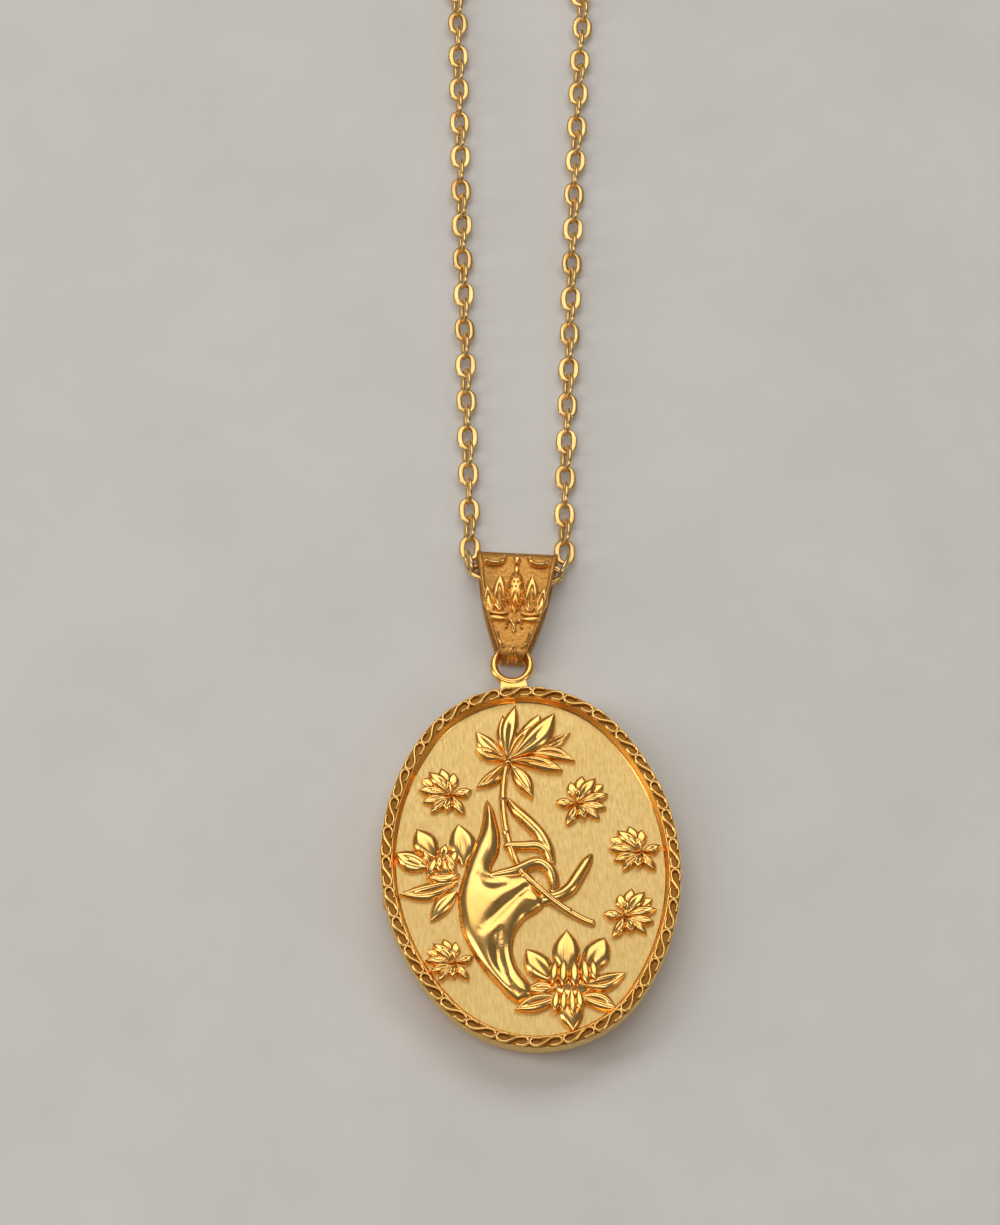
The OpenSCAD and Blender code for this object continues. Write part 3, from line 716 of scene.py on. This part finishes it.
# fingers: (x, y, half width, height) along each one
OUTER_FINGER = [(1.1, -3.9, 0.8, 0.7), (2.6, -3.7, 0.72, 0.8), (3.75, -3.0, 0.78, 0.9),
                (4.75, -1.6, 0.74, 0.9), (5.6, -0.3, 0.62, 0.75), (6.1, 0.4, 0.3, 0.5)]
FINGERS = [
    # the bent finger, then the two folded ones, drawn over the palm
    [(-1.6, 7.0, 0.34, 0.5), (-0.85, 5.7, 0.68, 0.8), (0.3, 4.3, 0.76, 0.9), (1.3, 2.9, 0.74, 0.9),
     (1.85, 1.5, 0.7, 0.85), (2.1, 0.3, 0.55, 0.7)],
    [(-2.1, 2.05, 0.5, 0.75), (-0.6, 1.9, 0.6, 0.86), (0.8, 1.8, 0.62, 0.92), (1.65, 1.2, 0.6, 0.88),
     (2.1, 0.0, 0.5, 0.75)],
    [(-4.6, -1.3, 0.3, 0.7), (-3.3, -1.1, 0.55, 0.95), (-1.6, -0.8, 0.7, 1.04), (0.6, -0.05, 0.74, 1.06),
     (1.85, -0.9, 0.72, 1.0), (2.2, -2.3, 0.62, 0.85), (2.0, -3.2, 0.5, 0.7)],
]


def ridge(x, y, spine):
    """Height of a rounded form with the given spine at each x, y; it falls below zero outside."""
    path = spline(np.array(spine), 0.12)
    d2 = (x[..., None] - path[:, 0]) ** 2 + (y[..., None] - path[:, 1]) ** 2
    q = d2 / path[:, 2] ** 2
    best = q.argmin(-1)
    t = 1 - np.take_along_axis(q, best[..., None], -1)[..., 0]
    t = np.maximum(t, -3)
    rounded = t / (np.abs(t) + 0.04) ** 0.5
    return path[best, 3] * rounded


def soft_max(a, b, k):
    """The higher of two heights, blended over k where they meet."""
    h = np.clip(0.5 + 0.5 * (a - b) / k, 0, 1)
    return b * (1 - h) + a * h + k * h * (1 - h)


def height_mesh(x0, x1, y0, y1, step, height, floor=-0.1):
    """A closed mesh over the grid cells where height is above the floor."""
    xs = np.arange(x0, x1 + step / 2, step)
    ys = np.arange(y0, y1 + step / 2, step)
    gx, gy = np.meshgrid(xs, ys)
    h = height(gx, gy)
    inside = h > floor
    cell = inside[:-1, :-1] & inside[1:, :-1] & inside[:-1, 1:] & inside[1:, 1:]
    used = np.zeros_like(inside)
    for dy in (0, 1):
        for dx in (0, 1):
            used[dy:dy + cell.shape[0], dx:dx + cell.shape[1]] |= cell
    index = -np.ones(h.shape, int)
    index[used] = np.arange(used.sum())
    top = np.stack([gx[used], gy[used], FIELD_Z + h[used]], -1)
    low = top.copy()
    low[:, 2] = FIELD_Z + floor - 0.05
    n = len(top)
    faces, edges = [], {}
    for i, j in zip(*np.nonzero(cell)):
        a, b, c, d = index[i, j], index[i, j + 1], index[i + 1, j + 1], index[i + 1, j]
        faces.append((a, b, c, d))
        faces.append((n + d, n + c, n + b, n + a))
        for p, q in ((a, b), (b, c), (c, d), (d, a)):
            if (q, p) in edges:
                del edges[(q, p)]
            else:
                edges[(p, q)] = True
    for p, q in edges:
        faces.append((q, p, n + p, n + q))
    return np.vstack([top, low]), faces


def inset(x, y, contour):
    """Distance inside a smooth closed contour at each x, y; it is negative outside."""
    c = np.array(contour)
    c = spline(np.vstack([c, c[:1]]), 0.3)
    a, b = c[:-1], c[1:]
    best = np.full(x.shape, 1e9)
    crossings = np.zeros(x.shape, int)
    for (ax, ay), (bx, by) in zip(a, b):
        dx, dy = bx - ax, by - ay
        t = np.clip(((x - ax) * dx + (y - ay) * dy) / (dx * dx + dy * dy), 0, 1)
        best = np.minimum(best, np.hypot(x - ax - t * dx, y - ay - t * dy))
        if dy:
            crossings += ((ay > y) != (by > y)) & (x < ax + (y - ay) * dx / dy)
    return np.where(crossings % 2 == 1, best, -best)


def near_line(x, y, line):
    """Depth of a soft groove along a line of (x, y, half width, depth) points."""
    path = spline(np.array(line), 0.2)
    d2 = (x[..., None] - path[:, 0]) ** 2 + (y[..., None] - path[:, 1]) ** 2
    q = d2 / path[:, 2] ** 2
    best = q.argmin(-1)
    return path[best, 3] * np.exp(-np.take_along_axis(q, best[..., None], -1)[..., 0])


def hand_dome(d):
    """Height at distance d inside the palm's outline: a quick rise, then a slow one."""
    return 0.6 * np.sqrt(1 - np.exp(-d / 0.45)) + 0.34 * (1 - np.exp(-d / 1.6))


def hand_height(x, y):
    d = inset(x, y, MITT)
    # a narrow step round the foot, then a full rounded form
    d_in = np.maximum(d - 0.16, 0)
    h = np.where(d > 0, 0.22 * np.minimum(1, d / 0.06) + hand_dome(d_in), -1 + d)
    for line in HOLLOWS:
        h = h - near_line(x, y, line) * (d > 0)
    h = soft_max(ridge(x, y, OUTER_FINGER), h, 0.1)
    for spine in FINGERS:
        h = soft_max(ridge(x, y, spine), h, 0.05)
    return h


def make_hand():
    v, f = height_mesh(-8.2, 7.2, -15.2, 8.2, 0.075, hand_height)
    hand = make("hand_form", v, f, GOLD, "cover")
    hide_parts("hand_relief")


make_hand()

# ---- Bail -----------------------------------------------------------------------------------

BAIL_FOOT = (1.75, 2.1, 1.6)    # distance from the ring, height and radius of the lower bend
BAIL_TOP = (10.95, 1.85, 1.85)  # the same for the upper bend
SQUARE = 3.5                    # how square the front of the upper bend is, 2 is round
RING_GAP = 1.1                  # half width of the strap inside the ring
# half width at each distance from the ring
OUTLINE = [(0.0, 1.1), (0.45, 1.3), (1.3, 1.55), (2.7, 2.05), (4.6, 2.65), (6.6, 3.2), (8.8, 3.65),
           (11, 3.95), (12.8, 4.25)]
# half of the strap's section: part of the half width, and depth below the face; the edge is raised
STRAP_EDGE = [(0.87, 0.03), (0.895, -0.02), (0.925, -0.1), (0.96, -0.1), (0.99, -0.02), (1, 0.16)]
STRAP_BACK = [(1, 0.38), (0.96, 0.5), (0, 0.5), (-0.96, 0.5), (-1, 0.38)]


TOP_ROW, TOP_ROW_AT = 10.55, 10.4    # lower limit of the ornament's top row, as drawn and as set
STRETCH, ACROSS = 1.11, 0.92         # fit of the ornament along the bail and across it


def bail_frame(u, v, z):
    """Bail coordinates (across, from the ring outwards, height) to case millimetres."""
    c, s = math.cos(BAIL_YAW), math.sin(BAIL_YAW)
    return c * u - s * v, RING_Y + s * u + c * v, z


def bail_front_z(v):
    """Height of the strap's front face at distance v from the ring."""
    top_v, top_z, top_r = BAIL_TOP
    foot_v, foot_z, foot_r = BAIL_FOOT
    if v > top_v:
        return top_z + max(0.0, top_r ** SQUARE - (v - top_v) ** SQUARE) ** (1 / SQUARE)
    if v < foot_v:
        return foot_z + math.sqrt(max(0.0, foot_r ** 2 - (v - foot_v) ** 2))
    return foot_z + foot_r


def make_bail():
    (fv, fz, fr), (tv, tz, tr) = BAIL_FOOT, BAIL_TOP
    lean = math.asin((tr - fr) / math.hypot(tv - fv, fz - tz)) + math.atan2(fz - tz, tv - fv)
    path = []
    for k in range(41):
        a = math.pi / 2 - (math.pi + lean) * k / 40
        ca, sa = math.cos(a), math.sin(a)
        if a > 0:
            size = (abs(ca) ** SQUARE + sa ** SQUARE) ** (-1 / SQUARE)
            nv, nz = max(0.0, ca) ** (SQUARE - 1), sa ** (SQUARE - 1)
            steep = math.hypot(nv, nz)
            path.append((tv + tr * size * ca, tz + tr * size * sa, nv / steep, nz / steep))
        else:
            path.append((tv + tr * ca, tz + tr * sa, ca, sa))
    for k in range(1, 24):
        a = path[40]
        end = -math.pi / 2 - lean
        b = (fv + fr * math.cos(end), fz + fr * math.sin(end))
        t = k / 24
        path.append((a[0] + (b[0] - a[0]) * t, a[1] + (b[1] - a[1]) * t, math.cos(end), math.sin(end)))
    for k in range(41):
        a = -math.pi / 2 - lean - (math.pi - lean) * k / 40
        path.append((fv + fr * math.cos(a), fz + fr * math.sin(a), math.cos(a), math.sin(a)))
    for k in range(1, 48):
        t = k / 48
        path.append((fv + (tv - fv) * t, fz + fr, 0.0, 1.0))
    vs, ws = zip(*OUTLINE)
    section = [(-u, depth) for u, depth in STRAP_EDGE[::-1]] + [(0, 0.03)] + STRAP_EDGE + STRAP_BACK
    rings = []
    for v, z, nv, nz in path:
        half = float(np.interp(v, vs, ws))
        off = abs(z - fz)
        if v < 1.9 and off < 1.35:
            # the lower bend narrows where it goes through the ring
            near = min(1.0, max(0.0, (off - 1.05) / 0.3))
            half = RING_GAP + (half - RING_GAP) * near * near * (3 - 2 * near)
        rings.append([bail_frame(half * u, v - nv * depth, z - nz * depth) for u, depth in section])
    v, f = outward(loft(rings, closed=True))
    # the strap's deeper orange is painted shade round the relief
    bail = make("bail_strap", v, f, BAIL_GROUND_PAINTED_SHADE, "bail", sharp=35)
    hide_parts("bail")


def drape(part):
    """Moves a piece drawn on the relief field to the bail's front face; x is across, y is along.

    The ornament is drawn a little too wide, and too short below its top row, so it is fitted here.
    """
    v, f = part
    out = []
    for u, w, z in np.asarray(v, float):
        w = w - (TOP_ROW - TOP_ROW_AT) if w > TOP_ROW else TOP_ROW_AT - STRETCH * (TOP_ROW - w)
        out.append(bail_frame(ACROSS * u, w, bail_front_z(w) + (z - FIELD_Z)))
    return np.array(out), f


def bar_wire(points, radius, z):
    """A round bar through points on the relief field, with its middle at height z above it."""
    path = spline([(x, y, FIELD_Z + z) for x, y in points], 0.1)
    return round_wire(path, radius, 8, 1.2)


def make_bail_ornament():
    parts = [
        leaf((0, 12.4), (0, 11.1), 0.85, (0.3, 0.55, 0.5), 0, 0.05, 0.6, 0.8),
        bulb(-0.2, 11.15, 0.17, 0.22, 0.5), bulb(0.2, 11.15, 0.17, 0.22, 0.5),
        bulb(0, 8.2, 1.0, 2.2, 0.5),
        leaf((0, 9.9), (0, 10.9), 0.6, (0.35, 0.42, 0.3), 0, 0.1),
        leaf((0, 5.9), (0, 7.9), 1.0, (0.3, 0.6, 0.55), 0, 0.1, 0.45),
        bar_wire([(-0.55, 6.45), (-0.32, 7.3), (0, 8.0), (0.32, 7.3), (0.55, 6.45)], 0.13, 0.5),
        leaf((0, 6.0), (0, 7.3), 0.5, (0.5, 0.75, 0.6), 0, 0.3, 0.45),
        bar_wire([(-0.95, 4.3), (-0.62, 5.15), (-0.3, 5.05), (0, 4.6), (0.3, 5.05), (0.62, 5.15),
                  (0.95, 4.3)], 0.16, 0.16),
        leaf((0, 3.9), (0, 4.7), 0.6, (0.25, 0.4, 0.3), 0, 0.2, 0.4),
        leaf((0.0, 1.35), (0, 2.1), 0.5, (0.22, 0.36, 0.3), 0, 0.2, 0.35),
        bar_wire([(-0.5, 1.25), (-0.26, 1.9), (0.0, 2.35), (0.26, 1.9), (0.5, 1.25)], 0.14, 0.2),
    ]
    for row, (v, n) in enumerate(((10.0, 1), (9.55, 3), (9.05, 4), (8.55, 3))):
        for k in range(n):
            parts.append(bulb((k - (n - 1) / 2) * 0.42, v, 0.18, 0.2, 0.6 + 0.02 * row))
    for s in (-1, 1):
        parts += [
            bar_wire([(s * 3.55, 11.35), (s * 2.9, 11.1), (s * 2.15, 11.1), (s * 1.65, 11.35),
                      (s * 1.4, 11.8)], 0.3, 0.22),
            bulb(s * 3.4, 11.3, 0.42, 0.42, 0.62), bulb(s * 1.45, 11.8, 0.38, 0.38, 0.6),
            leaf((s * 1.6, 6.1), (s * 1.8, 9.8), 1.75, (0.3, 0.5, 0.4), -s * 0.1, 0.15, 0.42, 0.5),
            leaf((s * 1.65, 6.3), (s * 1.85, 8.5), 1.1, (0.45, 0.75, 0.6), -s * 0.05, 0.3, 0.42, 0.4),
            bar_wire([(s * 1.25, 6.9), (s * 1.55, 7.9), (s * 1.85, 8.7), (s * 2.0, 7.9), (s * 2.2, 6.9)],
                     0.12, 0.55),
            leaf((s * 2.5, 6.0), (s * 3.2, 8.6), 1.35, (0.3, 0.45, 0.35), -s * 0.15, 0.15, 0.45, 0.5),
            bar_wire([(s * 2.6, 6.6), (s * 2.85, 7.4), (s * 3.1, 7.9), (s * 3.2, 7.3), (s * 3.25, 6.8)],
                     0.12, 0.48),
            bar_wire([(s * 3.35, 6.75), (s * 2.9, 6.05), (s * 2.2, 5.8), (s * 1.15, 5.8), (s * 0.6, 6.1)],
                     0.17, 0.18),
            bulb(s * 0.78, 8.1, 0.17, 0.26, 0.62), bulb(s * 0.82, 7.3, 0.19, 0.36, 0.6),
            leaf((s * 0.85, 5.2), (s * 2.9, 5.35), 0.55, (0.3, 0.46, 0.35), 0, 0.1, 0.5, 0.5),
            bar_wire([(s * 1.8, 3.9), (s * 1.66, 3.2), (s * 1.35, 2.65), (s * 0.9, 2.25)], 0.18, 0.22),
        ]
    v, f = joined([outward(drape(p)) for p in parts])
    ornament = make("bail_relief", v, f, BAIL_GOLD, "bail", sharp=50)
    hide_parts("bail_ornament")


make_bail()
make_bail_ornament()

# ---- Finishes of the CAD nodes that stay ----------------------------------------------------

FINISH = {
    CASE_GOLD: ["back_cover", "back_hinge_knuckles", "front_hinge_knuckles"],
    RING_GOLD: ["top_ring"],
    INNER_GOLD: ["closing_lip", "back_photo_rim", "front_photo_rim", "hinge_pin"],
    FIELD_GOLD: ["front_cover"],
    CLEAR: ["back_window", "front_window"],
    CARD: ["back_photo_card", "front_photo_card"],
    CHAIN_GOLD: ["clasp_jump_ring", "clasp_body", "clasp_pin", "clasp_lever", "end_ring"],
    STEEL: ["clasp_spring"],
}
for material, names in FINISH.items():
    for name in names:
        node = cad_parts[name]
        node.data.materials.clear()
        node.data.materials.append(material)
        for polygon in node.data.polygons:
            polygon.use_smooth = True
        node.data.set_sharp_from_angle(angle=math.radians(32))

# ---- Floor, light and world -----------------------------------------------------------------


FLOOR_HALF, FLOOR_Z = 1.2, -0.00003    # metres
WHITE, WARM = (1.0, 0.98, 0.95), (1.0, 0.975, 0.93)
WORLD_COLOR, WORLD_STRENGTH = (0.9, 0.88, 0.85, 1), 0.16


def make_floor():
    m = Nodes("floor_paper", Roughness=0.75)
    grain = noise(m, 60, detail=5)
    m.into("Base Color", m.ramp(grain, [(0.3, (0.76, 0.74, 0.71)), (0.7, (0.82, 0.80, 0.77))]))
    mesh = bpy.data.meshes.new("floor")
    corners = [(x * FLOOR_HALF, y * FLOOR_HALF, FLOOR_Z) for x, y in ((-1, -1), (1, -1), (1, 1), (-1, 1))]
    mesh.from_pydata(corners, [], [(0, 1, 2, 3)])
    mesh.materials.append(m.material)
    floor = bpy.data.objects.new("floor", mesh)
    bpy.context.scene.collection.objects.link(floor)


def area_light(name, at, size, power, color):
    """A soft box that faces the middle of the frame."""
    data = bpy.data.lights.new(name, "AREA")
    data.shape = "RECTANGLE"
    data.size, data.size_y = size
    data.energy = power
    data.color = color
    light = bpy.data.objects.new(name, data)
    bpy.context.scene.collection.objects.link(light)
    light.location = at
    light.rotation_euler = (-Vector(at)).to_track_quat("-Z", "Y").to_euler()


make_floor()
area_light("key", (0.02, 0.36, 0.54), (0.66, 0.36), 1.3, WARM)
area_light("fill", (-0.55, 0.0, 0.4), (0.16, 0.5), 0.9, WHITE)
area_light("front", (-0.1, -0.2, 0.62), (0.5, 0.2), 0.8, WHITE)
area_light("side", (0.5, -0.25, 0.4), (0.14, 0.3), 0.3, WHITE)
world = bpy.data.worlds.new("studio")
world.use_nodes = True
background = world.node_tree.nodes["Background"]
background.inputs[0].default_value = WORLD_COLOR
background.inputs[1].default_value = WORLD_STRENGTH
bpy.context.scene.world = world
bpy.context.scene.view_settings.view_transform = "Standard"
